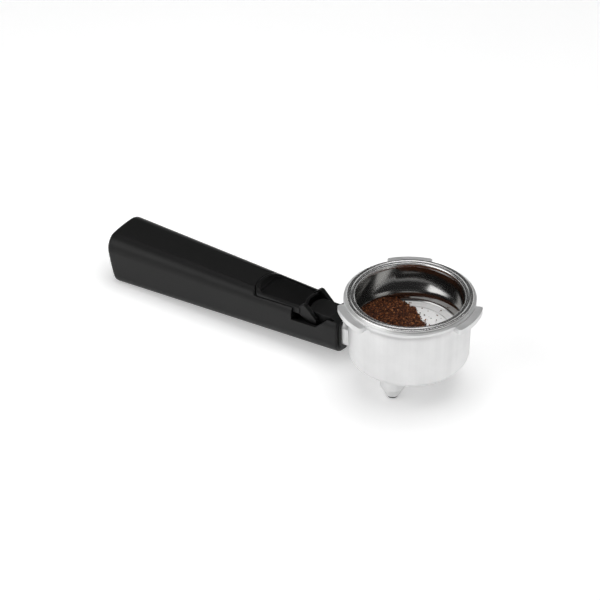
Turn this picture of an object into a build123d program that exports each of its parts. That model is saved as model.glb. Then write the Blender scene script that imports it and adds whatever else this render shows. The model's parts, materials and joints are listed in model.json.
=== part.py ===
from build123d import *

import os
from math import cos, hypot, pi, radians, sin

# Portafilter of a home espresso machine, in millimetres.
# The axis of the filter cup is Z, the cup's rim lies in the plane z = 0, and the handle runs
# along +X. The part is the same on both sides of the XZ plane.
# A thumb lever turns on a pin behind the cup. Flipped over, it stands upright beside the cup's
# rim, with its tip above the rim and clear of the filter basket.

# ---------------------------------------------------------------- driving dimensions
# Filter basket, pressed from stainless sheet for a 51 mm tamper
BASKET_BORE_R = 25.5
BASKET_SHEET = 0.6
BASKET_FLANGE_WIDTH = 3.9
BASKET_FLANGE_T = 1.2
BASKET_FLANGE_ROUND = 0.8
BASKET_STEP_DEPTH = 12.0
BASKET_STEP = 1.1
BASKET_DEPTH = 19.5
BASKET_FLOOR_ROUND = 2.0
BASKET_BEAD_INSET = 4.8
BASKET_BEAD_HEIGHT = 0.45
SIEVE_HOLE_R = 0.45
SIEVE_EDGE = 2.2
SIEVE_RINGS = 4

# Pressure parts under the basket floor
COLLAR_RING_INSET = 2.4
COLLAR_RING_T = 0.8
COLLAR_RING_DEPTH = 4.4
FROTH_GASKET_WIDTH = 4.5
FROTH_GASKET_T = 1.0
FROTH_DISC_T = 0.8
FROTH_DISC_HOLE_R = 0.5
FROTH_CAP_FLOOR_T = 1.6
FROTH_CAP_WALL_T = 1.6
FROTH_CAP_BAR_T = 1.6
FROTH_CAP_GRIP_PROUD = 0.8
FROTH_CAP_GRIP_T = 1.8
FROTH_CAP_HOLE_R = 2.0

# Filter cup, an aluminium casting
CUP_BORE_CLEARANCE = 0.35
CUP_WALL_T = 2.55
CUP_TAPER = 0.6
CUP_RIM_PROUD = 1.8
CUP_RIM_BAND = 3.2
CUP_RIM_ROUND = 0.5
CUP_BAND_SLOPE = 1.0
CUP_SPACE_UNDER_CAP = 1.3
CUP_FLOOR_T = 2.5
CUP_BASE_ROUND = 3.4
CUP_INNER_ROUND = 1.6
LUG_REACH = 3.5
LUG_TOP_DROP = 0.8
LUG_T = 2.8
LUG_HALF_ANGLE = 18.7
LUG_COUNT = 3
FIRST_LUG_ANGLE = 60.0
LUG_ROOT = 1.0
DRAIN_HOLE_R = 2.4
DRAIN_LAND = 1.2

# Spout under the cup: a bar with a nozzle at each end
SPOUT_SEAL_T = 0.6
SPOUT_HALF_WIDTH = 6.0
SPOUT_BAR_HEIGHT = 9.6
SPOUT_ROUND = 1.6
NOZZLE_Y = 14.8
NOZZLE_SHOULDER = 0.5
NOZZLE_WALL = 0.9
NOZZLE_DROP = 3.7
GALLERY_WALL = 2.6
GALLERY_DEPTH = 4.6
GALLERY_OVERRUN = 2.2
SLEEVE_BORE_R = 2.0
SLEEVE_WALL = 0.6
SLEEVE_STAND_OUT = 1.3
SPOUT_SCREW_R = 2.5
SPOUT_SCREW_HEAD_R = 4.6
SPOUT_SCREW_HEAD_T = 1.6
SPOUT_SCREW_DEPTH = 7.0
SPOUT_SCREW_HOLE_SPARE = 0.5
SPOUT_BOSS_WALL = 1.9
SCREW_SLOT_HALF_WIDTH = 0.5
SCREW_SLOT_DEPTH = 0.9
SCREW_SEAL_T = 0.7

# Handle, a tapered moulding
HANDLE_CUP_DISTANCE = 4.4
HANDLE_LENGTH = 131.6
FRONT_WIDTH = 21.0
END_WIDTH = 30.0
FRONT_TOP_Z = -21.7
FRONT_HEIGHT = 19.4
END_RISE = 6.1
END_HEIGHT = 25.6
FRONT_TOP_ROUND = 4.2
END_TOP_ROUND = 8.0
FRONT_BOTTOM_ROUND = 7.0
END_BOTTOM_ROUND = 4.5
FRONT_EDGE_ROUND = 1.2
END_SLANT = 9.0
END_CROWN_R = 95.0
END_EDGE_ROUND = 2.2
POCKET_FLOOR_T = 1.6
HANDLE_WALL = 2.6
CAP_SEAT_STEP = 0.7
CAP_DEPTH = 6.0
CAP_FLOOR_T = 4.1
SMALLEST_CORNER = 0.6

# Lever bay at the front of the handle; lengths count from the handle's front
BAY_WALL = 1.6
BAY_FLOOR_T = 3.8
BAY_LENGTH = 25.1
BULKHEAD_T = 10.0
NOTCH_DEPTH = 6.2
NOTCH_FRONT = 11.8
NOTCH_RAMP_FRONT = 4.8

# Neck of the cup and the tongue that the handle is pulled onto
NECK_SIDE_INSET = 2.9
NECK_TOP_INSET = 1.5
NECK_BOTTOM_INSET = 5.1
NECK_ROUND = 2.6
NECK_ROOT = 6.0
TONGUE_HALF_WIDTH = 4.5
TONGUE_TOP_STEP = 4.6
TONGUE_BOTTOM_STEP = 0.6
TONGUE_LENGTH = 12.6
COLLAR_INSET = 1.5
COLLAR_T = 1.0
COLLAR_ROUND = 0.4

# Tie bolt, M5, with its washers
BOLT_R = 2.5
BOLT_HEAD_R = 4.25
BOLT_HEAD_T = 5.0
BOLT_SOCKET_R = 2.3
BOLT_SOCKET_DEPTH = 2.6
BOLT_GRIP = 10.0
WASHER_R = 4.5
WASHER_T = 1.0
SPRING_WASHER_R = 4.2
SPRING_WASHER_T = 1.3
SPRING_WASHER_SPLIT = 1.0

# Thumb lever and its hinge; lengths count from the handle's front, drops from its upper face there
PIVOT_LENGTH = 14.6
PIVOT_DROP = 4.9
PIN_R = 1.0
PIN_REACH = 1.5
PIN_CHAMFER = 0.2
HUB_DROP = 1.2
HUB_FRONT = 6.2
HUB_BACK_CENTRE = 11.6
HUB_BACK_R = 8.2
HUB_EDGE_ROUND = 0.4
HUB_BASE_DEPTH = 3.6
FACET_FRONT_DROP = 4.3
FACET_BACK = 4.0
FACET_BACK_DROP = 2.3
LEVER_FRONT = 21.6
LEVER_LENGTH = 27.8
LEVER_TIP_BOW = 4.6
LEVER_FRONT_MARGIN = 1.99
LEVER_TIP_MARGIN = 1.42
LEVER_TIP_ROUND = 1.2
LEVER_INNER_ROUND = 0.5
LEVER_DROP = 2.8
LEVER_LIP = 1.7
LEVER_SINK = 2.0
LEVER_STEP = 3.6
ARM_SETBACK = 0.5
ARM_T = 2.3
ARM_EYE_R = 2.1
ARM_NECK_DROP = 1.3
EAR_AHEAD = 4.9
EAR_RISE = 5.5
EAR_R = 1.8
FORK_RIDGE = 1.4
FORK_RIDGE_RISE = 0.5
FORK_RIDGE_SETBACK = 0.3

# Clearances
LEVER_GAP = 0.35
HINGE_SIDE_GAP = 0.4
FORK_GAP = 0.8
PIN_CLEARANCE = 0.05
THREAD_CLEARANCE = 0.03
SLIDE_FIT = 0.1
PLUG_FIT = 0.15
BOLT_HOLE_CLEARANCE = 0.3

# How far a cutting tool runs past what it cuts, and two heights that clear the handle
CUT = 1.0
ABOVE_HANDLE = 20.0
BEYOND_END = 8.0

# ---------------------------------------------------------------- derived sizes
# Basket and what screws on under it
flange_r = BASKET_BORE_R + BASKET_FLANGE_WIDTH
lower_r = BASKET_BORE_R - BASKET_STEP
basket_under_z = -BASKET_DEPTH - BASKET_SHEET
collar_ring_r = lower_r - COLLAR_RING_INSET
froth_r = collar_ring_r - COLLAR_RING_T - SLIDE_FIT
froth_gasket_inner_r = froth_r - FROTH_GASKET_WIDTH
sieve_pitch = (froth_gasket_inner_r - SIEVE_EDGE) / SIEVE_RINGS
gasket_low_z = basket_under_z - FROTH_GASKET_T
disc_low_z = gasket_low_z - FROTH_DISC_T
ring_low_z = basket_under_z - COLLAR_RING_DEPTH
grip_low_z = ring_low_z - FROTH_CAP_GRIP_T

# Cup, as deep as what stands in it
cup_bore_r = BASKET_BORE_R + BASKET_SHEET + CUP_BORE_CLEARANCE
cup_top_r = cup_bore_r + CUP_WALL_T
cup_base_r = cup_top_r - CUP_TAPER
cup_rim_r = cup_top_r + CUP_RIM_PROUD
lug_r = cup_rim_r + LUG_REACH
cup_floor_z = grip_low_z - CUP_SPACE_UNDER_CAP - SPOUT_SCREW_HEAD_T - SCREW_SEAL_T
cup_base_z = cup_floor_z - CUP_FLOOR_T
drain_hole_y = SPOUT_SCREW_HEAD_R + DRAIN_LAND + DRAIN_HOLE_R

# Spout
spout_top_z = cup_base_z - SPOUT_SEAL_T
spout_bottom_z = spout_top_z - SPOUT_BAR_HEIGHT
nozzle_tip_z = spout_bottom_z - NOZZLE_DROP
gallery_floor_z = spout_top_z - GALLERY_DEPTH
gallery_half_width = SPOUT_HALF_WIDTH - GALLERY_WALL
sleeve_outer_r = SLEEVE_BORE_R + SLEEVE_WALL
screw_head_z = cup_floor_z + SCREW_SEAL_T

# Handle
handle_front_x = cup_top_r + HANDLE_CUP_DISTANCE
handle_end_x = handle_front_x + HANDLE_LENGTH
end_top_z = FRONT_TOP_Z + END_RISE
front_bottom_z = FRONT_TOP_Z - FRONT_HEIGHT
end_bottom_z = end_top_z - END_HEIGHT
bay_back_x = handle_front_x + BAY_LENGTH
bay_floor_z = front_bottom_z + BAY_FLOOR_T
notch_floor_z = FRONT_TOP_Z - NOTCH_DEPTH
notch_front_x = handle_front_x + NOTCH_FRONT
notch_ramp_x = handle_front_x + NOTCH_RAMP_FRONT
neck_half_width = FRONT_WIDTH / 2 - NECK_SIDE_INSET
neck_top_z = FRONT_TOP_Z - NECK_TOP_INSET
neck_bottom_z = front_bottom_z + NECK_BOTTOM_INSET
tongue_top_z = neck_top_z - TONGUE_TOP_STEP
tongue_bottom_z = neck_bottom_z + TONGUE_BOTTOM_STEP
tongue_end_x = handle_front_x + TONGUE_LENGTH
bolt_tip_x = tongue_end_x - BOLT_GRIP
bolt_z = (tongue_top_z + tongue_bottom_z) / 2
bolt_seat_x = bay_back_x + BULKHEAD_T
bolt_head_x = bolt_seat_x + WASHER_T + SPRING_WASHER_T

# Lever and hinge
pivot_x = handle_front_x + PIVOT_LENGTH
pivot_z = FRONT_TOP_Z - PIVOT_DROP
ear_x = pivot_x + EAR_AHEAD
ear_z = pivot_z + EAR_RISE
fork_ridge_x = ear_x + FORK_RIDGE_SETBACK
hub_top_z = FRONT_TOP_Z - HUB_DROP
hub_front_x = handle_front_x + HUB_FRONT
hub_back_centre_x = handle_front_x + HUB_BACK_CENTRE
hub_base_z = pivot_z - HUB_BASE_DEPTH
facet_front_z = FRONT_TOP_Z - FACET_FRONT_DROP
facet_back_x = handle_front_x + FACET_BACK
facet_back_z = FRONT_TOP_Z - FACET_BACK_DROP
lever_front_x = handle_front_x + LEVER_FRONT
lever_tip_x = lever_front_x + LEVER_LENGTH
lever_corner_x = lever_tip_x - LEVER_TIP_BOW
lever_bottom_z = FRONT_TOP_Z - LEVER_DROP
pocket_floor_z = lever_bottom_z - LEVER_GAP
fork_r = HUB_BACK_R + FORK_GAP
hub_corner_r = hypot(hub_back_centre_x + HUB_BACK_R - pivot_x, hub_top_z - pivot_z)


# ---------------------------------------------------------------- helpers
def along_handle(x, front, end):
    """Value at x of a size that changes evenly from the handle's front to its end."""
    share = (x - handle_front_x) / (handle_end_x - handle_front_x)
    return front + (end - front) * share


def half_width(x):
    """Half the handle's width at x."""
    return along_handle(x, FRONT_WIDTH, END_WIDTH) / 2


def top_z(x):
    """Height of the handle's upper face at x."""
    return along_handle(x, FRONT_TOP_Z, end_top_z)


def handle_section(x, inset=0.0):
    """The handle's rounded cross-section at x, drawn inside its surface by inset."""
    high = top_z(x) - inset
    low = along_handle(x, front_bottom_z, end_bottom_z) + inset
    top_corner = max(along_handle(x, FRONT_TOP_ROUND, END_TOP_ROUND) - inset, SMALLEST_CORNER)
    bottom_corner = max(along_handle(x, FRONT_BOTTOM_ROUND, END_BOTTOM_ROUND) - inset, SMALLEST_CORNER)
    face = Rectangle(2 * (half_width(x) - inset), high - low)
    face = fillet(face.vertices().group_by(Axis.Y)[-1], top_corner)
    face = fillet(face.vertices().group_by(Axis.Y)[0], bottom_corner)
    plane = Plane(origin=(x, 0, (high + low) / 2), x_dir=(0, 1, 0), z_dir=(1, 0, 0))
    return plane * face


def handle_bar(x_from, x_to, inset=0.0):
    """A length of the handle's solid form."""
    return loft([handle_section(x_from, inset), handle_section(x_to, inset)], ruled=True)


def cut_at_end(body):
    """Trim a handle form at the slanted, slightly crowned end face."""
    slant = radians(END_SLANT)
    middle_z = (end_top_z + end_bottom_z) / 2
    centre = (handle_end_x - END_CROWN_R * cos(slant), 0, middle_z + END_CROWN_R * sin(slant))
    beyond = block(handle_end_x - CAP_DEPTH, handle_end_x + 2 * BEYOND_END, END_WIDTH,
                   middle_z - END_HEIGHT, middle_z + END_HEIGHT)
    return body - (beyond - Pos(*centre) * Sphere(END_CROWN_R))


def block(x_from, x_to, half_y, z_from, z_to):
    """A box that is centred across the handle."""
    size = (x_to - x_from, 2 * half_y, z_to - z_from)
    centre = ((x_from + x_to) / 2, 0, (z_from + z_to) / 2)
    return Pos(*centre) * Box(*size)


def rod_x(x_from, x_to, radius, z):
    """A round bar along the handle."""
    return Pos((x_from + x_to) / 2, 0, z) * Rot(0, 90, 0) * Cylinder(radius, x_to - x_from)


def rod_y(x, z, radius, half_length):
    """A round bar across the handle."""
    return Pos(x, 0, z) * Rot(90, 0, 0) * Cylinder(radius, 2 * half_length)


def disc(z_from, z_to, radius, x=0.0, y=0.0):
    """An upright cylinder between two heights."""
    return Pos(x, y, (z_from + z_to) / 2) * Cylinder(radius, z_to - z_from)


def ring(z_from, z_to, outer_r, inner_r):
    """An upright tube between two heights."""
    return disc(z_from, z_to, outer_r) - disc(z_from - CUT, z_to + CUT, inner_r)


def side_profile(points, half_y):
    """A polygon in X and Z, extruded across the handle."""
    face = Plane.XZ * make_face(Polyline(*points, close=True))
    return extrude(face, amount=half_y, both=True)


def tapered_prism(x_from, x_to, wall, z_from, z_to):
    """A prism whose sides run parallel to the handle's sides, wall inside them."""
    front_y = half_width(x_from) - wall
    back_y = half_width(x_to) - wall
    outline = Polyline((x_from, -front_y), (x_to, -back_y), (x_to, back_y), (x_from, front_y), close=True)
    return extrude(Pos(0, 0, z_from) * make_face(outline), amount=z_to - z_from)


lever_front_half_width = half_width(lever_front_x) - LEVER_FRONT_MARGIN
lever_tip_half_width = half_width(lever_corner_x) - LEVER_TIP_MARGIN
arm_outer_y = lever_front_half_width - ARM_SETBACK
arm_inner_y = arm_outer_y - ARM_T
hub_half_width = arm_inner_y - HINGE_SIDE_GAP
pin_half_length = arm_inner_y + PIN_REACH


def lever_half_width(x):
    """Half the lever's width at x."""
    share = (x - lever_front_x) / (lever_corner_x - lever_front_x)
    return lever_front_half_width + (lever_tip_half_width - lever_front_half_width) * share


def lever_prism(x_from, inset, z_from, z_to):
    """A prism over the lever's plan form: tapered sides, a bowed tip and rounded corners."""
    corner_x = lever_corner_x - inset
    front_y = lever_half_width(x_from) - inset
    back_y = lever_half_width(corner_x) - inset
    start, low = (x_from, -front_y), (corner_x, -back_y)
    high, last = (corner_x, back_y), (x_from, front_y)
    tip = ThreePointArc(low, (lever_tip_x - inset, 0), high)
    face = make_face(Line(start, low) + tip + Line(high, last) + Line(last, start))
    corners = face.vertices().filter_by(lambda v: v.X > x_from + CUT)
    face = fillet(corners, max(LEVER_TIP_ROUND - inset, LEVER_INNER_ROUND))
    return extrude(Pos(0, 0, z_from) * face, amount=z_to - z_from)


def hub_plan(radius, half_y, x_from, z_from, z_to):
    """The hub's plan form: straight sides and an arched back."""
    straight = block(x_from, hub_back_centre_x, half_y, z_from, z_to)
    arched = disc(z_from, z_to, radius, x=hub_back_centre_x)
    return straight + (arched & block(hub_back_centre_x - CUT, lever_tip_x, half_y, z_from, z_to))


# ---------------------------------------------------------------- filter basket body
def make_filter_basket():
    sheet = BASKET_SHEET
    bore, depth, step = BASKET_BORE_R, BASKET_DEPTH, BASKET_STEP_DEPTH
    floor_round, edge = BASKET_FLOOR_ROUND, BASKET_FLANGE_ROUND
    flat_r = lower_r - floor_round
    flange_z = BASKET_FLANGE_T
    inner = [
        Line((0, -depth), (flat_r, -depth)),
        RadiusArc((flat_r, -depth), (lower_r, floor_round - depth), -floor_round),
        Line((lower_r, floor_round - depth), (lower_r, -step)),
        Line((lower_r, -step), (bore, BASKET_STEP / 2 - step)),
        Line((bore, BASKET_STEP / 2 - step), (bore, flange_z - edge)),
        RadiusArc((bore, flange_z - edge), (bore + edge, flange_z), edge),
    ]
    round_out = flange_z / 2
    rim_x = flange_r - round_out
    outer = [
        Line((bore + edge, flange_z), (rim_x, flange_z)),
        RadiusArc((rim_x, flange_z), (flange_r, flange_z - round_out), round_out),
        Line((flange_r, flange_z - round_out), (flange_r, 0)),
        Line((flange_r, 0), (bore + sheet, 0)),
        Line((bore + sheet, 0), (bore + sheet, BASKET_STEP / 2 - step - sheet / 2)),
        Line((bore + sheet, BASKET_STEP / 2 - step - sheet / 2), (lower_r + sheet, -step - sheet / 2)),
        Line((lower_r + sheet, -step - sheet / 2), (lower_r + sheet, floor_round - depth)),
        RadiusArc((lower_r + sheet, floor_round - depth), (flat_r, -depth - sheet), floor_round + sheet),
        Line((flat_r, -depth - sheet), (0, -depth - sheet)),
        Line((0, -depth - sheet), (0, -depth)),
    ]
    body = revolve(Plane.XZ * make_face(inner + outer), Axis.Z)
    bead = Pos(0, 0, -depth) * Torus(lower_r - BASKET_BEAD_INSET, BASKET_BEAD_HEIGHT)
    bead -= disc(-depth - 2 * BASKET_BEAD_HEIGHT, -depth - sheet / 2, flange_r)
    thread_ring = ring(basket_under_z - COLLAR_RING_DEPTH, basket_under_z, collar_ring_r,
                       collar_ring_r - COLLAR_RING_T)
    body = body + bead + thread_ring
    holes = [disc(-depth - 2 * sheet, -depth + sheet, SIEVE_HOLE_R)]
    for number in range(1, SIEVE_RINGS + 1):
        count = 6 * number
        for index in range(count):
            turn = 2 * pi * index / count
            place = Pos(sieve_pitch * number * cos(turn), sieve_pitch * number * sin(turn), 0)
            holes.append(place * disc(-depth - 2 * sheet, -depth + sheet, SIEVE_HOLE_R))
    return body - holes


def make_froth_gasket():
    return ring(gasket_low_z, basket_under_z, froth_r, froth_gasket_inner_r)


def make_froth_disc():
    return ring(disc_low_z, gasket_low_z, froth_r, FROTH_DISC_HOLE_R)


def make_froth_cap():
    floor_z = disc_low_z - FROTH_CAP_FLOOR_T
    body = disc(ring_low_z, disc_low_z, froth_r)
    body += disc(grip_low_z, ring_low_z, collar_ring_r + FROTH_CAP_GRIP_PROUD)
    body -= disc(grip_low_z - CUT, floor_z, froth_r - FROTH_CAP_WALL_T)
    reach = froth_r - FROTH_CAP_WALL_T / 2
    finger_bar = block(-reach, reach, FROTH_CAP_BAR_T / 2, grip_low_z, floor_z + FROTH_CAP_FLOOR_T / 2)
    return body + finger_bar - disc(grip_low_z - CUT, disc_low_z + CUT, FROTH_CAP_HOLE_R)


# ---------------------------------------------------------------- cup and spout
def make_lug():
    """One bayonet lug about the angle 0."""
    low, high = -LUG_TOP_DROP - LUG_T, -LUG_TOP_DROP
    root_r = cup_bore_r + LUG_ROOT
    outline = [(root_r, low), (lug_r, low), (lug_r, high), (root_r, high)]
    face = Plane.XZ * make_face(Polyline(*outline, close=True))
    lug = Rot(0, 0, -LUG_HALF_ANGLE) * revolve(face, Axis.Z, 2 * LUG_HALF_ANGLE)
    middle_r = (root_r + lug_r) / 2
    corners = [e for e in lug.edges().filter_by(Axis.Z) if hypot(e.center().X, e.center().Y) > middle_r]
    return fillet(corners, LUG_T / 2)


def neck_bar(x_from, x_to, clearance=0.0):
    """The rounded neck between the cup and the handle."""
    middle_z = (neck_top_z + neck_bottom_z) / 2
    plane = Plane(origin=(x_from, 0, middle_z), x_dir=(0, 1, 0), z_dir=(1, 0, 0))
    width, height = 2 * neck_half_width, neck_top_z - neck_bottom_z
    face = RectangleRounded(width + 2 * clearance, height + 2 * clearance, NECK_ROUND + clearance)
    return extrude(plane * face, amount=x_to - x_from)


def make_filter_cup():
    floor_r = cup_base_r - CUP_BASE_ROUND
    outer = [
        Line((0, cup_base_z), (floor_r, cup_base_z)),
        RadiusArc((floor_r, cup_base_z), (cup_base_r, cup_base_z + CUP_BASE_ROUND), -CUP_BASE_ROUND),
        Line((cup_base_r, cup_base_z + CUP_BASE_ROUND), (cup_top_r, -CUP_RIM_BAND)),
        Line((cup_top_r, -CUP_RIM_BAND), (cup_rim_r, CUP_BAND_SLOPE - CUP_RIM_BAND)),
        Line((cup_rim_r, CUP_BAND_SLOPE - CUP_RIM_BAND), (cup_rim_r, 0)),
        Line((cup_rim_r, 0), (0, 0)),
        Line((0, 0), (0, cup_base_z)),
    ]
    body = revolve(Plane.XZ * make_face(outer), Axis.Z)
    body = fillet(body.edges().group_by(Axis.Z)[-1], CUP_RIM_ROUND)
    for index in range(LUG_COUNT):
        body += Rot(0, 0, FIRST_LUG_ANGLE + 360 / LUG_COUNT * index) * make_lug()

    body += neck_bar(cup_base_r - NECK_ROOT, handle_front_x)
    body += block(cup_base_r, tongue_end_x, TONGUE_HALF_WIDTH, tongue_bottom_z, tongue_top_z)

    bore = disc(cup_floor_z, CUT, cup_bore_r)
    body -= fillet(bore.edges().group_by(Axis.Z)[0], CUP_INNER_ROUND)
    through = (cup_base_z - CUT, cup_floor_z + CUT)
    body -= disc(*through, SPOUT_SCREW_R + SLIDE_FIT)
    for side in (-1, 1):
        body -= disc(*through, DRAIN_HOLE_R, y=side * drain_hole_y)
    return body - rod_x(bolt_tip_x - CUT, tongue_end_x + CUT, BOLT_R + THREAD_CLEARANCE, bolt_z)


def spout_outline(inset=0.0):
    return Rot(0, 0, 90) * SlotCenterToCenter(2 * NOZZLE_Y, 2 * (SPOUT_HALF_WIDTH - inset))


def gallery(z_from, z_to):
    """The two halves of the coffee channel, one on each side of the screw boss."""
    half_y = NOZZLE_Y + GALLERY_OVERRUN
    slot = Rot(0, 0, 90) * SlotOverall(2 * half_y, 2 * gallery_half_width)
    channel = extrude(Pos(0, 0, z_from) * slot, amount=z_to - z_from)
    return channel - disc(z_from - CUT, z_to + CUT, SPOUT_SCREW_R + SPOUT_BOSS_WALL)


def make_spout_block():
    nozzle_top_r = SPOUT_HALF_WIDTH - NOZZLE_SHOULDER
    nozzle_tip_r = sleeve_outer_r + NOZZLE_WALL
    body = extrude(Pos(0, 0, spout_bottom_z) * spout_outline(), amount=SPOUT_BAR_HEIGHT)
    body = fillet(body.edges().group_by(Axis.Z)[0], SPOUT_ROUND)
    cone_top_z = spout_bottom_z + SPOUT_ROUND / 2
    height = cone_top_z - nozzle_tip_z
    for side in (-1, 1):
        place = Pos(0, side * NOZZLE_Y, (cone_top_z + nozzle_tip_z) / 2)
        body += place * Cone(nozzle_tip_r, nozzle_top_r, height)
    body -= gallery(gallery_floor_z, spout_top_z + CUT)
    for side in (-1, 1):
        body -= disc(nozzle_tip_z - CUT, gallery_floor_z + CUT, sleeve_outer_r + THREAD_CLEARANCE,
                     y=side * NOZZLE_Y)
    screw_hole_z = spout_top_z - SPOUT_SCREW_DEPTH - SPOUT_SCREW_HOLE_SPARE
    return body - disc(screw_hole_z, spout_top_z + CUT, SPOUT_SCREW_R + THREAD_CLEARANCE)


def make_spout_seal():
    body = extrude(Pos(0, 0, spout_top_z) * spout_outline(SLIDE_FIT), amount=SPOUT_SEAL_T)
    through = (spout_top_z - CUT, cup_base_z + CUT)
    return body - gallery(*through) - disc(*through, SPOUT_SCREW_R + SLIDE_FIT)


def make_nozzle_sleeve(side):
    low = nozzle_tip_z - SLEEVE_STAND_OUT
    return Pos(0, side * NOZZLE_Y, 0) * ring(low, gallery_floor_z, sleeve_outer_r, SLEEVE_BORE_R)


def make_screw_seal():
    return ring(cup_floor_z, screw_head_z, SPOUT_SCREW_HEAD_R - SLIDE_FIT, SPOUT_SCREW_R + SLIDE_FIT)


def make_spout_screw():
    head = disc(screw_head_z, screw_head_z + SPOUT_SCREW_HEAD_T, SPOUT_SCREW_HEAD_R)
    head = fillet(head.edges().group_by(Axis.Z)[-1], SPOUT_SCREW_HEAD_T / 2)
    shank = disc(spout_top_z - SPOUT_SCREW_DEPTH, screw_head_z, SPOUT_SCREW_R)
    slot_z = screw_head_z + SPOUT_SCREW_HEAD_T
    slot = block(-SPOUT_SCREW_HEAD_R, SPOUT_SCREW_HEAD_R, SCREW_SLOT_HALF_WIDTH,
                 slot_z - SCREW_SLOT_DEPTH, slot_z + CUT)
    return head + shank - slot


# ---------------------------------------------------------------- handle
def make_handle_collar():
    """Ring round the cup's neck, between the cup and the handle's front face."""
    body = extrude(handle_section(handle_front_x, COLLAR_INSET), amount=-COLLAR_T)
    front_x = handle_front_x - COLLAR_T
    body = fillet(body.edges().group_by(Axis.X)[0], COLLAR_ROUND)
    return body - neck_bar(front_x - CUT, handle_front_x + CUT, SLIDE_FIT)


def make_handle_shell():
    body = cut_at_end(handle_bar(handle_front_x, handle_end_x + BEYOND_END))
    body = fillet(body.faces().sort_by(Axis.X)[-1].edges(), END_EDGE_ROUND)
    body = fillet(body.faces().sort_by(Axis.X)[0].edges(), FRONT_EDGE_ROUND)

    seat_x = handle_end_x - CAP_DEPTH
    hollow = handle_bar(bolt_seat_x, seat_x + CUT, HANDLE_WALL + CAP_SEAT_STEP)
    under_lever_z = pocket_floor_z - POCKET_FLOOR_T
    hollow -= block(bolt_seat_x - CUT, lever_tip_x + HANDLE_WALL, END_WIDTH, under_lever_z, ABOVE_HANDLE)
    body -= hollow
    body -= handle_bar(seat_x, handle_end_x + BEYOND_END + CUT, HANDLE_WALL)
    body -= rod_x(bay_back_x - CUT, bolt_seat_x + CUT, BOLT_R + BOLT_HOLE_CLEARANCE, bolt_z)

    body -= tapered_prism(handle_front_x - CUT, bay_back_x, BAY_WALL, bay_floor_z, ABOVE_HANDLE)
    body -= lever_prism(bay_back_x - CUT, -LEVER_GAP, pocket_floor_z, ABOVE_HANDLE)
    ramp_rise = (top_z(notch_ramp_x) - notch_floor_z) / (notch_front_x - notch_ramp_x)
    notch = [(notch_front_x, notch_floor_z), (bay_back_x, notch_floor_z),
             (bay_back_x, top_z(bay_back_x) + CUT),
             (notch_ramp_x - CUT / ramp_rise, top_z(notch_ramp_x) + CUT)]
    return body - side_profile(notch, END_WIDTH)


def make_hinge_block():
    """Core of the lever bay: a base that takes the tongue, and the hub between the lever arms."""
    wall = BAY_WALL + SLIDE_FIT
    body = tapered_prism(handle_front_x, bay_back_x, wall, bay_floor_z, hub_base_z)
    facet = [(handle_front_x, hub_base_z - CUT), (facet_back_x, hub_base_z - CUT),
             (facet_back_x, facet_back_z), (handle_front_x, facet_front_z)]
    body += side_profile(facet, half_width(handle_front_x) - wall)
    hub = hub_plan(HUB_BACK_R, hub_half_width, handle_front_x + CUT, hub_base_z - CUT, hub_top_z)
    nose = [(handle_front_x, facet_front_z), (hub_front_x, hub_top_z), (hub_front_x, hub_top_z + CUT),
            (handle_front_x, hub_top_z + CUT)]
    hub -= side_profile(nose, END_WIDTH)
    hub = fillet(hub.edges().group_by(Axis.Z)[-1], HUB_EDGE_ROUND)
    body += hub
    body -= block(handle_front_x - CUT, tongue_end_x + SLIDE_FIT, TONGUE_HALF_WIDTH + SLIDE_FIT,
                  tongue_bottom_z - SLIDE_FIT, tongue_top_z + SLIDE_FIT)
    body -= rod_x(tongue_end_x - CUT, bay_back_x + CUT, BOLT_R + BOLT_HOLE_CLEARANCE, bolt_z)
    return body - rod_y(pivot_x, pivot_z, PIN_R + THREAD_CLEARANCE, END_WIDTH)


def make_end_cap():
    seat_x = handle_end_x - CAP_DEPTH
    inset = HANDLE_WALL + PLUG_FIT
    body = cut_at_end(handle_bar(seat_x, handle_end_x + BEYOND_END, inset))
    hollow = handle_bar(seat_x - CUT, handle_end_x - CAP_FLOOR_T, inset + HANDLE_WALL)
    return body - hollow


def make_lever_pin():
    pin = rod_y(pivot_x, pivot_z, PIN_R, pin_half_length)
    return chamfer(pin.edges().filter_by(GeomType.CIRCLE), PIN_CHAMFER)


def make_handle_bolt():
    body = rod_x(bolt_tip_x, bolt_head_x, BOLT_R, bolt_z)
    body += rod_x(bolt_head_x, bolt_head_x + BOLT_HEAD_T, BOLT_HEAD_R, bolt_z)
    socket_plane = Plane(origin=(bolt_head_x + BOLT_HEAD_T - BOLT_SOCKET_DEPTH, 0, bolt_z), z_dir=(1, 0, 0))
    return body - extrude(socket_plane * RegularPolygon(BOLT_SOCKET_R, 6), amount=BOLT_SOCKET_DEPTH + CUT)


def make_flat_washer():
    body = rod_x(bolt_seat_x, bolt_seat_x + WASHER_T, WASHER_R, bolt_z)
    return body - rod_x(bolt_seat_x - CUT, bolt_head_x + CUT, BOLT_R + SLIDE_FIT, bolt_z)


def make_spring_washer():
    low_x = bolt_seat_x + WASHER_T
    body = rod_x(low_x, bolt_head_x, SPRING_WASHER_R, bolt_z)
    body -= rod_x(low_x - CUT, bolt_head_x + CUT, BOLT_R + SLIDE_FIT, bolt_z)
    return body - block(low_x - CUT, bolt_head_x + CUT, SPRING_WASHER_SPLIT / 2, bolt_z, bolt_z + WASHER_R)


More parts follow.
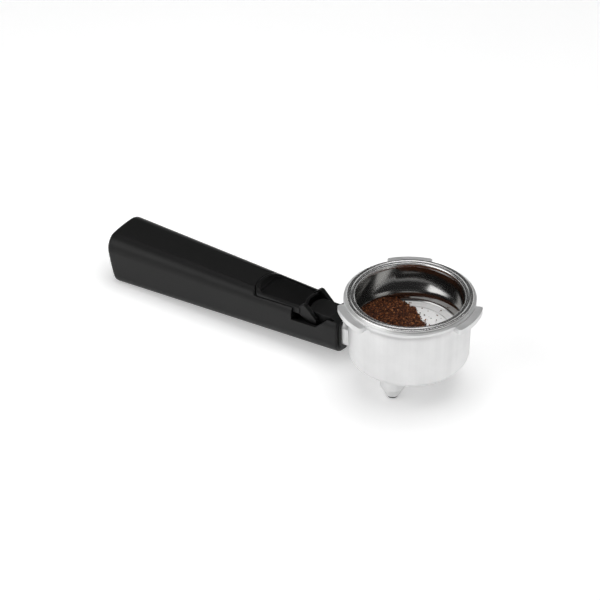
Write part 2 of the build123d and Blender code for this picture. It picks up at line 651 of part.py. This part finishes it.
# ---------------------------------------------------------------- thumb lever
def make_arm(side):
    """One lever arm: an eye round the pin, an ear over it and a root in the plate."""
    root_x = lever_front_x + EAR_R
    eye = Pos(pivot_x, pivot_z) * Circle(ARM_EYE_R)
    ear = Pos(ear_x, ear_z) * Circle(EAR_R)
    root_top = top_z(lever_front_x) - ARM_NECK_DROP
    root = make_face(Polyline((lever_front_x, lever_bottom_z), (root_x, lever_bottom_z),
                              (root_x, root_top), (lever_front_x, root_top), close=True))
    profile = make_hull(eye.edges() + ear.edges() + root.edges())
    thickness = arm_outer_y - arm_inner_y
    arm = extrude(Plane.XZ * profile, amount=thickness / 2, both=True)
    return Pos(0, side * (arm_inner_y + thickness / 2), 0) * arm


def make_thumb_lever():
    plate = lever_prism(lever_front_x, 0, lever_bottom_z, ABOVE_HANDLE)
    plate &= handle_bar(handle_front_x, handle_end_x)
    sink_from, sink_to = lever_front_x - CUT, lever_tip_x - LEVER_LIP
    step_x = sink_to - LEVER_STEP
    dish = [(sink_from, top_z(sink_from) - LEVER_SINK), (step_x, top_z(step_x) - LEVER_SINK),
            (sink_to, top_z(sink_to)), (sink_to, ABOVE_HANDLE), (sink_from, ABOVE_HANDLE)]
    dish = side_profile(dish, END_WIDTH) & lever_prism(sink_from, LEVER_LIP, lever_bottom_z, ABOVE_HANDLE)
    ridge_top_z = top_z(lever_front_x) + FORK_RIDGE_RISE
    ridge = disc(lever_bottom_z, ridge_top_z, fork_r + FORK_RIDGE, x=hub_back_centre_x)
    ridge &= block(fork_ridge_x, lever_tip_x, arm_outer_y, lever_bottom_z, ridge_top_z)
    body = plate - dish + ridge + make_arm(-1) + make_arm(1)
    body -= hub_plan(fork_r, arm_inner_y, handle_front_x, cup_base_z, ABOVE_HANDLE)
    body -= rod_y(pivot_x, pivot_z, hub_corner_r + HINGE_SIDE_GAP, arm_inner_y)
    return body - rod_y(pivot_x, pivot_z, PIN_R + PIN_CLEARANCE, pin_half_length + SLIDE_FIT)


# ---------------------------------------------------------------- export
PARTS = {
    "filter_cup": make_filter_cup(),
    "spout_seal": make_spout_seal(),
    "spout_block": make_spout_block(),
    "screw_seal": make_screw_seal(),
    "spout_screw": make_spout_screw(),
    "nozzle_sleeve_left": make_nozzle_sleeve(-1),
    "nozzle_sleeve_right": make_nozzle_sleeve(1),
    "handle_collar": make_handle_collar(),
    "handle_shell": make_handle_shell(),
    "hinge_block": make_hinge_block(),
    "handle_bolt": make_handle_bolt(),
    "flat_washer": make_flat_washer(),
    "spring_washer": make_spring_washer(),
    "end_cap": make_end_cap(),
    "lever_pin": make_lever_pin(),
    "thumb_lever": make_thumb_lever(),
    "filter_basket": make_filter_basket(),
    "froth_gasket": make_froth_gasket(),
    "froth_disc": make_froth_disc(),
    "froth_cap": make_froth_cap(),
}

os.makedirs("parts", exist_ok=True)
for name, shape in PARTS.items():
    export_step(shape, os.path.join("parts", name + ".step"))
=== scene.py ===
import json
from itertools import combinations
from math import atan2, cos, pi, radians, sin, sqrt

import bpy
import numpy as np
from mathutils import Matrix, Vector


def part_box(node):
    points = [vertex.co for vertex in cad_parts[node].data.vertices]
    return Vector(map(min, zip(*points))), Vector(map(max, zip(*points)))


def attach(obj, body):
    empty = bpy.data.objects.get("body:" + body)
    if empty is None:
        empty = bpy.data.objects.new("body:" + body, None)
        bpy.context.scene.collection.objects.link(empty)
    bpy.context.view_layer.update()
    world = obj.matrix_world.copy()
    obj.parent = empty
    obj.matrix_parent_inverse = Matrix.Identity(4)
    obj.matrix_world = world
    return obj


# A portafilter stands on a white table, with ground coffee heaped in its basket
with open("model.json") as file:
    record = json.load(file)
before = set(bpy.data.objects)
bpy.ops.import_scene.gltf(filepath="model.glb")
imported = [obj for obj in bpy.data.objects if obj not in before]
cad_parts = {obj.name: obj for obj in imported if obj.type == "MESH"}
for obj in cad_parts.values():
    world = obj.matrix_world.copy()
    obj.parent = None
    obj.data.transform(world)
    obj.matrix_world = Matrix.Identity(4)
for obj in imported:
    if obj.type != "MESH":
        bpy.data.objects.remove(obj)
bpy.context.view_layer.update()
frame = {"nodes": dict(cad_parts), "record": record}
MM = 0.001

# Lengths are in metres, but the basket's sizes here and the coffee's further down are in mm
basket_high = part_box("filter_basket")[1]
flange_r, flange_top_z = round(basket_high.x / MM, 1), round(basket_high.z / MM, 1)
flange_groove_r = flange_r - 1.9             # a shallow line pressed round the flange
flange_fade_z = (flange_top_z - 2.4, flange_top_z - 1.6)
sieve_z = round(flange_top_z - 20.65, 2)     # what the coffee lies on
sieve_fade_z = (sieve_z + 0.15, sieve_z + 0.65)
heap_r = round(flange_r - 5.3, 2)


# ---------------------------------------------------------------- small helpers
class Shader:
    """A material's node tree with short calls for adding and joining nodes."""

    def __init__(self, name):
        self.material = bpy.data.materials.new(name)
        self.material.use_nodes = True
        self.tree = self.material.node_tree
        self.surface = self.tree.nodes["Principled BSDF"]

    def feed(self, socket, value):
        if isinstance(value, bpy.types.NodeSocket):
            self.tree.links.new(value, socket)
        else:
            socket.default_value = value

    def add(self, kind, settings=None, **inputs):
        made = self.tree.nodes.new("ShaderNode" + kind)
        for key, value in (settings or {}).items():
            setattr(made, key, value)
        for key, value in inputs.items():
            self.feed(made.inputs[key.replace("_", " ")], value)
        return made

    def math(self, operation, *values):
        made = self.tree.nodes.new("ShaderNodeMath")
        made.operation = operation
        for socket, value in zip(made.inputs, values):
            self.feed(socket, value)
        return made.outputs[0]

    def place(self, scale=(1, 1, 1)):
        """The piece's own coordinates, stretched by scale."""
        coordinates = self.add("TexCoord").outputs["Object"]
        return self.add("Mapping", Vector=coordinates, Scale=scale).outputs["Vector"]

    def noise(self, scale, detail=3.0, roughness=0.5, stretch=(1, 1, 1)):
        return self.add("TexNoise", Vector=self.place(stretch), Scale=scale, Detail=detail,
                        Roughness=roughness).outputs["Fac"]

    def ramp(self, value, stops):
        made = self.add("ValToRGB", Fac=value)
        points = made.color_ramp.elements
        while len(points) < len(stops):
            points.new(0.5)
        for point, (position, colour) in zip(points, stops):
            point.position = position
            point.color = (*colour, 1.0)
        return made.outputs["Color"]

    def spread(self, value, low, high, from_low=0.3, from_high=0.7):
        """Map a value, which is a noise unless told otherwise, onto the range from low to high."""
        return self.add("MapRange", Value=value, From_Min=from_low, From_Max=from_high,
                        To_Min=low, To_Max=high).outputs["Result"]

    def rounded(self, radius_mm):
        """Normals that make sharp edges shine as if they had this radius."""
        return self.add("Bevel", {"samples": 6}, Radius=radius_mm * MM).outputs["Normal"]

    def bump(self, height, strength, distance_mm, normal):
        return self.add("Bump", Height=height, Strength=strength, Distance=distance_mm * MM,
                        Normal=normal).outputs["Normal"]

    def set(self, **inputs):
        for key, value in inputs.items():
            self.feed(self.surface.inputs[key.replace("_", " ")], value)
        return self.material


def grey(level):
    return (level, level, level)


# ---------------------------------------------------------------- materials
def moulded_plastic(name, base, rough, grain_mm, edge_mm, specular):
    """Black moulded plastic with the fine grain of a spark-eroded tool."""
    s = Shader(name)
    cloud = s.noise(45.0, 4.0)
    tint = s.ramp(cloud, [(0.3, grey(base * 0.85)), (0.7, grey(base * 1.15))])
    grain = s.noise(1.0 / (grain_mm * MM), 2.0)
    smears = s.noise(22.0, 6.0, 0.6, (1.0, 2.6, 2.6))
    gloss = s.math("ADD", s.spread(smears, rough - 0.03, rough + 0.04), s.spread(grain, -0.02, 0.02))
    normal = s.bump(grain, 0.22, 0.02, s.rounded(edge_mm))
    return s.set(Base_Color=tint, Roughness=gloss, Normal=normal, Specular_IOR_Level=specular)


def cast_aluminium(name):
    """Fine blasted aluminium: matt, nearly even, with faint streaks down the wall."""
    s = Shader(name)
    cloud = s.noise(60.0, 5.0, 0.55)
    streaks = s.noise(80.0, 4.0, 0.6, (1.0, 1.0, 0.03))
    blend = s.math("ADD", s.math("MULTIPLY", cloud, 0.4), s.math("MULTIPLY", streaks, 0.6))
    tint = s.ramp(blend, [(0.36, grey(0.73)), (0.62, grey(0.85))])
    grain = s.noise(5200.0, 2.0)
    gloss = s.math("ADD", s.spread(streaks, 0.42, 0.50), s.spread(grain, -0.03, 0.03))
    normal = s.bump(grain, 0.16, 0.02, s.rounded(0.25))
    return s.set(Base_Color=tint, Metallic=0.8, Roughness=gloss, Normal=normal)


FLANGE_GROOVE_HALF_WIDTH = 0.6 * MM


def polished_sheet(name):
    """Polished stainless sheet with faint lines round the axis, dull on the sieve at its floor; light
    on the flange and the sieve, and painted dark on the wall between them as painted shade.
    """
    s = Shader(name)
    where = s.add("SeparateXYZ", Vector=s.place())
    x, y, z = (where.outputs[axis] for axis in "XYZ")
    reach = s.math("SQRT", s.math("ADD", s.math("MULTIPLY", x, x), s.math("MULTIPLY", y, y)))
    along = s.add("CombineXYZ", X=reach, Y=z, Z=0.0).outputs["Vector"]
    lines = s.add("TexNoise", Vector=along, Scale=2600.0, Detail=2.0, Roughness=0.6).outputs["Fac"]
    smudge = s.noise(70.0, 5.0, 0.6)
    flange = s.spread(z, 0.0, 1.0, *(height * MM for height in flange_fade_z))
    sieve = s.spread(z, 1.0, 0.0, *(height * MM for height in sieve_fade_z))
    # Painted shade: the wall between the flange and the sieve takes the dark end of the ramp, the
    # flange and the sieve the light end
    clear_of_painted_shade = s.math("ADD", s.math("MAXIMUM", flange, sieve), s.spread(smudge, -0.08, 0.08))
    tint = s.ramp(clear_of_painted_shade, [(0.0, (0.36, 0.357, 0.35)), (1.0, (0.92, 0.915, 0.91))])
    satin = s.math("ADD", s.math("MULTIPLY", flange, 0.08), s.math("MULTIPLY", sieve, 0.24))
    uneven = s.math("ADD", s.spread(smudge, 0.13, 0.18), s.spread(lines, -0.02, 0.03))
    gloss = s.math("ADD", satin, uneven)
    from_groove = s.math("ABSOLUTE", s.math("SUBTRACT", reach, flange_groove_r * MM))
    beside = s.spread(from_groove, 0.0, 1.0, 0.0, FLANGE_GROOVE_HALF_WIDTH)
    groove = s.math("MULTIPLY", flange, beside)
    normal = s.bump(lines, 0.03, 0.01, s.bump(groove, 1.0, 0.3, s.rounded(0.2)))
    turned = s.add("Tangent", {"direction_type": "RADIAL", "axis": "Z"}).outputs["Tangent"]
    metal = s.spread(sieve, 1.0, 0.10, 0.0, 1.0)
    return s.set(Base_Color=tint, Metallic=metal, Roughness=gloss, Anisotropic=0.4, Tangent=turned,
                 Normal=normal)


def plated_steel(name):
    """Zinc-plated steel, slightly cloudy."""
    s = Shader(name)
    cloud = s.noise(240.0, 5.0, 0.6)
    tint = s.ramp(cloud, [(0.3, (0.50, 0.50, 0.52)), (0.7, (0.62, 0.62, 0.63))])
    scratches = s.noise(900.0, 2.0, 0.5, (1.0, 8.0, 8.0))
    return s.set(Base_Color=tint, Metallic=1.0, Roughness=s.spread(cloud, 0.24, 0.38),
                 Normal=s.bump(scratches, 0.12, 0.02, s.rounded(0.2)))


def seal_rubber(name):
    """Matt moulded rubber with a little dust in its grain."""
    s = Shader(name)
    grain = s.noise(2400.0, 3.0)
    dust = s.noise(130.0, 6.0, 0.65)
    tint = s.ramp(dust, [(0.4, (0.022, 0.022, 0.022)), (0.8, (0.060, 0.058, 0.055))])
    return s.set(Base_Color=tint, Roughness=s.spread(grain, 0.68, 0.86),
                 Normal=s.bump(grain, 0.35, 0.03, s.rounded(0.15)))


def roast_coffee(name):
    """Ground coffee: red-brown to near black, different from grain to grain."""
    s = Shader(name)
    which = s.add("NewGeometry").outputs["Random Per Island"]
    patch = s.noise(900.0, 4.0, 0.6)
    pick = s.math("ADD", s.math("MULTIPLY", which, 0.62), s.math("MULTIPLY", patch, 0.38))
    tint = s.ramp(pick, [(0.18, (0.010, 0.004, 0.002)), (0.44, (0.065, 0.019, 0.007)),
                         (0.66, (0.180, 0.054, 0.017)), (0.86, (0.48, 0.20, 0.075))])
    grain = s.noise(5200.0, 3.0)
    return s.set(Base_Color=tint, Roughness=s.spread(grain, 0.5, 0.8),
                 Normal=s.bump(grain, 0.5, 0.06, s.rounded(0.05)), Specular_IOR_Level=0.35)


MATERIALS = {
    "cast_aluminium": cast_aluminium("cast_aluminium_blasted"),
    "stainless": polished_sheet("stainless_polished"),
    "handle_plastic": moulded_plastic("handle_black_satin", base=0.0048, rough=0.44, grain_mm=0.22,
                                      edge_mm=0.30, specular=0.30),
    "lever_plastic": moulded_plastic("lever_black_satin", base=0.0026, rough=0.36, grain_mm=0.18,
                                     edge_mm=0.55, specular=0.30),
    "insert_plastic": moulded_plastic("insert_black_smooth", base=0.014, rough=0.26, grain_mm=0.35,
                                      edge_mm=0.15, specular=0.5),
    "seal_rubber": seal_rubber("seal_rubber_black"),
    "fastener_steel": plated_steel("fastener_zinc"),
}
SEAM_WIDTH = 0.0005 * MM
slots = {part["node"]: part["material_slot"] for part in frame["record"]["subparts"]}
for name, node in frame["nodes"].items():
    node.data.materials.clear()
    node.data.materials.append(MATERIALS[slots[name]])
    node.modifiers.new("join_seams", "WELD").merge_threshold = SEAM_WIDTH

# ---------------------------------------------------------------- ground coffee in the basket
TOWARDS = radians(32.6)              # the side that the coffee is heaped on
HEAP_EDGE, EDGE_SKEW = -10.0, 0.42   # where the bare sieve begins, and the slope of that line
HEAP_HIGH, HEAP_RUN = 5.8, 10.0
SLOPE_OUTSIDE = 0.3
SKIRT_Z, SHOWN_FROM_Z, GRAINS_FROM_Z = -0.35, -0.3, -0.2    # over the sieve, at the heap's edge
EDGE_WAVE = (1.6, 3.4, 3)            # height, cell and seed of a noise, here and below
LUMPS = ((0.62, 5.5, 4), (0.34, 2.2, 5))
CRUMBLE = ((0.20, 0.8, 6), (0.12, 0.35, 8))
GRAIN_SIZES = (0.22, 0.30, 0.38, 0.50)
GRAIN_JITTER = (0.72, 1.22)          # how far out a grain's corner lies, as a share of its size
GRAIN_STRETCH = ((0.7, 0.6, 0.5), (1.35, 1.1, 0.9))         # least and most along its three axes
GRAINS, LOOSE_GRAINS = 4200, 90
SCATTER, SCATTER_RUN, STRAY = 0.10, 2.6, 0.012    # chance of a loose grain at a spot beside the heap
LATTICE = 96
rng = np.random.default_rng(7)


def lattice_noise(points, height, cell, seed):
    """Smooth random heights of both signs, on a square lattice."""
    values = np.random.default_rng(seed).uniform(-1, 1, (LATTICE + 1, LATTICE + 1))
    scaled = points / cell + LATTICE // 2
    low = np.floor(scaled).astype(int)
    share = scaled - low
    share = share * share * (3 - 2 * share)
    i, j = low[:, 0] % LATTICE, low[:, 1] % LATTICE
    front = values[i, j] * (1 - share[:, 0]) + values[i + 1, j] * share[:, 0]
    back = values[i, j + 1] * (1 - share[:, 0]) + values[i + 1, j + 1] * share[:, 0]
    return height * (front * (1 - share[:, 1]) + back * share[:, 1])


def heap_depth(points):
    """How far each point lies inside the heap's edge, below zero outside it."""
    along = points[:, 0] * cos(TOWARDS) + points[:, 1] * sin(TOWARDS)
    across = points[:, 0] * sin(TOWARDS) - points[:, 1] * cos(TOWARDS)
    return along - HEAP_EDGE - EDGE_SKEW * across + lattice_noise(points, *EDGE_WAVE)


def heap_height(points):
    """Height of the coffee over the sieve, below zero where there is none."""
    depth = heap_depth(points)
    inside = HEAP_HIGH * (1 - np.exp(-depth / HEAP_RUN))
    rise = np.where(depth > 0, inside, SLOPE_OUTSIDE * depth)
    lumps = sum(lattice_noise(points, *noise) for noise in LUMPS)
    crumble = sum(lattice_noise(points, *noise) for noise in CRUMBLE)
    full_where_thick = np.clip(rise + 0.4, 0.1, 1.0)
    return rise + lumps * full_where_thick + crumble


def disc_points(count, radius):
    """Random spots, spread evenly over a disc."""
    reach, turn = radius * np.sqrt(rng.random(count)), rng.uniform(0, 2 * pi, count)
    return np.column_stack((reach * np.cos(turn), reach * np.sin(turn)))


def grain_meshes(centres, sizes):
    """One irregular broken grain per centre, from a jittered icosahedron."""
    golden = (1 + sqrt(5)) / 2
    corners = np.array([(-1, golden, 0), (1, golden, 0), (-1, -golden, 0), (1, -golden, 0),
                        (0, -1, golden), (0, 1, golden), (0, -1, -golden), (0, 1, -golden),
                        (golden, 0, -1), (golden, 0, 1), (-golden, 0, -1), (-golden, 0, 1)])
    corners /= np.linalg.norm(corners[0])
    longer_than_edge = 1.1               # the edges are 1.05 long, and all else is longer than 1.7

    def near(one, other):
        return np.linalg.norm(corners[one] - corners[other]) < longer_than_edge

    faces = np.array([(a, b, c) for a, b, c in combinations(range(len(corners)), 3)
                      if near(a, b) and near(b, c) and near(c, a)])
    first, second, third = corners[faces].transpose(1, 0, 2)
    inward = (np.cross(second - first, third - first) * first).sum(axis=1) < 0
    faces[inward] = faces[inward][:, ::-1]
    count = len(centres)
    grains = corners * rng.uniform(*GRAIN_JITTER, (count, len(corners), 1)) * sizes[:, None, None]
    grains *= rng.uniform(*GRAIN_STRETCH, (count, 1, 3))
    axes, _ = np.linalg.qr(rng.normal(size=(count, 3, 3)))
    axes *= np.sign(np.linalg.det(axes))[:, None, None]
    grains = grains @ axes + centres[:, None, :]
    first_corners = len(corners) * np.arange(count)[:, None, None]
    return grains.reshape(-1, 3), (faces[None] + first_corners).reshape(-1, 3)


def heap_surface():
    """The heap's top as rings of points, left open where the sieve shows."""
    rings, steps = 74, 230
    reach = heap_r * np.arange(1, rings + 1) / rings
    turn = 2 * pi * np.arange(steps) / steps
    points = np.column_stack([np.outer(reach, way(turn)).ravel() for way in (np.cos, np.sin)])
    heights = np.maximum(heap_height(points), SKIRT_Z)
    i, j = np.meshgrid(np.arange(rings - 1), np.arange(steps), indexing="ij")
    k = (j + 1) % steps
    quads = np.stack((i * steps + j, (i + 1) * steps + j, (i + 1) * steps + k, i * steps + k), axis=-1)
    quads = quads.reshape(-1, 4)
    quads = quads[(heights[quads] > SHOWN_FROM_Z).any(axis=1)]
    return np.column_stack((points, sieve_z + heights)), quads


def heaped_grains():
    """Centres and sizes of the grains on the heap, pressed into it by a part of their size."""
    spots = disc_points(4 * GRAINS, heap_r)
    heights = heap_height(spots)
    keep = np.flatnonzero(heights > GRAINS_FROM_Z)[:GRAINS]
    sizes = rng.choice(GRAIN_SIZES, len(keep)) * rng.uniform(0.8, 1.2, len(keep))
    off_the_wall = 0.985
    centre_z = sieve_z + np.maximum(heights[keep], 0) + 0.35 * sizes
    return np.column_stack((spots[keep] * off_the_wall, centre_z)), sizes


def loose_grains():
    """Centres and sizes of the grains that lie on the sieve, fewer away from the heap."""
    spots = disc_points(60 * LOOSE_GRAINS, heap_r * 0.97)
    away = -heap_depth(spots)
    chance = SCATTER * np.exp(-away / SCATTER_RUN) + STRAY
    keep = np.flatnonzero((away > 0) & (rng.random(len(spots)) < chance))[:LOOSE_GRAINS]
    sizes = rng.uniform(GRAIN_SIZES[0], GRAIN_SIZES[-1], len(keep))
    return np.column_stack((spots[keep], sieve_z + 0.5 * sizes)), sizes


def make_heap():
    """The heap's top and all the grains as one mesh, which goes where the basket goes."""
    top, quads = heap_surface()
    heaped, heaped_sizes = heaped_grains()
    loose, loose_sizes = loose_grains()
    grains, triangles = grain_meshes(np.vstack((heaped, loose)),
                                     np.concatenate((heaped_sizes, loose_sizes)))
    corners = np.vstack((top, grains)) * MM
    faces = quads.tolist() + (triangles + len(top)).tolist()
    mesh = bpy.data.meshes.new("ground_coffee")
    mesh.from_pydata(corners.tolist(), [], faces)
    mesh.validate()
    mesh.materials.append(roast_coffee("coffee_ground"))
    made = bpy.data.objects.new("ground_coffee", mesh)
    bpy.context.scene.collection.objects.link(made)
    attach(made, "basket")


make_heap()

# ---------------------------------------------------------------- floor, light and camera
HEEL_INSET = 4.5 * MM        # the handle's rounded end starts here
FLOOR_GAP = 0.02 * MM
FLOOR_HALF_SIZE = 6.0
FLOOR_GLOW = 0.33            # lifts the lit floor to white, and leaves the shadow
sleeve_low, sleeve_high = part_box("nozzle_sleeve_left")
handle_low, handle_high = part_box("handle_shell")
foot = Vector((sleeve_high.x, 0, sleeve_low.z))
heel = Vector((handle_high.x - HEEL_INSET, 0, handle_low.z))
tilt = atan2(heel.z - foot.z, heel.x - foot.x)


def make_floor():
    """A wide pale table that touches the nozzles and the handle's heel."""
    s = Shader("floor_white")
    soft = s.noise(6.0, 2.0)
    tint = s.ramp(soft, [(0.3, grey(0.86)), (0.7, grey(0.88))])
    path = s.add("LightPath").outputs
    seen = s.math("MAXIMUM", path["Is Camera Ray"],
                  s.math("MAXIMUM", path["Is Glossy Ray"], path["Is Transmission Ray"]))
    s.set(Base_Color=tint, Roughness=0.9, Specular_IOR_Level=0.1,
          Emission_Color=(1, 1, 1, 1), Emission_Strength=s.math("MULTIPLY", seen, FLOOR_GLOW))
    half = FLOOR_HALF_SIZE
    mesh = bpy.data.meshes.new("floor")
    mesh.from_pydata([(-half, -half, 0), (half, -half, 0), (half, half, 0), (-half, half, 0)], [],
                     [(0, 1, 2, 3)])
    mesh.materials.append(s.material)
    floor = bpy.data.objects.new("floor", mesh)
    bpy.context.scene.collection.objects.link(floor)
    floor.rotation_euler = (0, -tilt, 0)
    floor.location = foot + Vector((0, 0, -FLOOR_GAP))


make_floor()


def direction(azimuth, elevation):
    """Unit vector to a place on the sky, from angles in degrees."""
    a, e = radians(azimuth), radians(elevation)
    return Vector((cos(a) * cos(e), sin(a) * cos(e), sin(e)))


LAMPS_AIM = Vector((0.05, 0, -0.02))


def area_light(name, azimuth, elevation, distance, width, height, power, mirrored=True):
    """A softbox aimed at the part; one that isn't mirrored lights it without a reflection."""
    lamp = bpy.data.lights.new(name, "AREA")
    lamp.shape = "RECTANGLE"
    lamp.size, lamp.size_y = width, height
    lamp.energy = power
    lit = bpy.data.objects.new(name, lamp)
    bpy.context.scene.collection.objects.link(lit)
    lit.location = LAMPS_AIM + direction(azimuth, elevation) * distance
    lit.visible_glossy = mirrored
    lit.rotation_euler = (lit.location - LAMPS_AIM).to_track_quat("Z", "Y").to_euler()


area_light("softbox_near", azimuth=58, elevation=38, distance=0.9, width=0.8, height=0.6, power=3.1)
area_light("softbox_top", azimuth=-160, elevation=78, distance=0.9, width=0.8, height=0.8, power=5.0,
           mirrored=False)
area_light("softbox_high", azimuth=-66, elevation=74, distance=1.2, width=0.8, height=0.8, power=2.8)

# Sine of the elevation and grey level: up to the first the world is pale, from the second dark
WORLD_PALE, WORLD_DARK = (0.04, 0.95), (0.30, 0.04)


def make_world():
    """White for the camera; light and mirrors see it pale at the horizon and dark overhead."""
    world = bpy.data.worlds.new("studio")
    bpy.context.scene.world = world
    world.use_nodes = True
    tree = world.node_tree
    tree.nodes.clear()

    def add(kind, **inputs):
        made = tree.nodes.new("ShaderNode" + kind)
        for key, value in inputs.items():
            made.inputs[key].default_value = value
        return made

    out, mix, path = add("OutputWorld"), add("MixShader"), add("LightPath")
    backdrop, around = add("Background", Color=(1, 1, 1, 1)), add("Background")
    where, split, fade = add("TexCoord"), add("SeparateXYZ"), add("ValToRGB")
    for point, (height, level) in zip(fade.color_ramp.elements, (WORLD_PALE, WORLD_DARK)):
        point.position, point.color = height, (*grey(level), 1)
    join = tree.links.new
    join(where.outputs["Generated"], split.inputs["Vector"])
    join(split.outputs["Z"], fade.inputs["Fac"])
    join(fade.outputs["Color"], around.inputs["Color"])
    join(path.outputs["Is Camera Ray"], mix.inputs["Fac"])
    join(around.outputs["Background"], mix.inputs[1])
    join(backdrop.outputs["Background"], mix.inputs[2])
    join(mix.outputs["Shader"], out.inputs["Surface"])


make_world()

# The camera stands on the +Y side, a little behind the cup, and looks down on the part
AZIMUTH, ELEVATION, ROLL = 122.68, 34.81, -0.753
DISTANCE = 1.02288
CAMERA_AIM = Vector((0.060, 0, -0.015))
AIM_RIGHT, AIM_UP = -0.000365, -0.007265
SENSOR_WIDTH, LENS = 36.0, 128.32
back = direction(AZIMUTH, ELEVATION)
right = (-back).cross(Vector((0, 0, 1))).normalized()
up = right.cross(-back)
target = CAMERA_AIM + AIM_RIGHT * right + AIM_UP * up
roll = radians(ROLL)
camera_right = cos(roll) * right + sin(roll) * up
camera_up = cos(roll) * up - sin(roll) * right
camera = bpy.data.objects.new("camera", bpy.data.cameras.new("camera"))
bpy.context.scene.collection.objects.link(camera)
camera.data.sensor_width = SENSOR_WIDTH
camera.data.lens = LENS
camera.data.clip_start, camera.data.clip_end = 0.05, 20.0
turn = Matrix((camera_right, camera_up, back)).transposed().to_4x4()
camera.matrix_world = Matrix.Translation(target + back * DISTANCE) @ turn
bpy.context.scene.camera = camera
bpy.context.scene.view_settings.view_transform = "Standard"
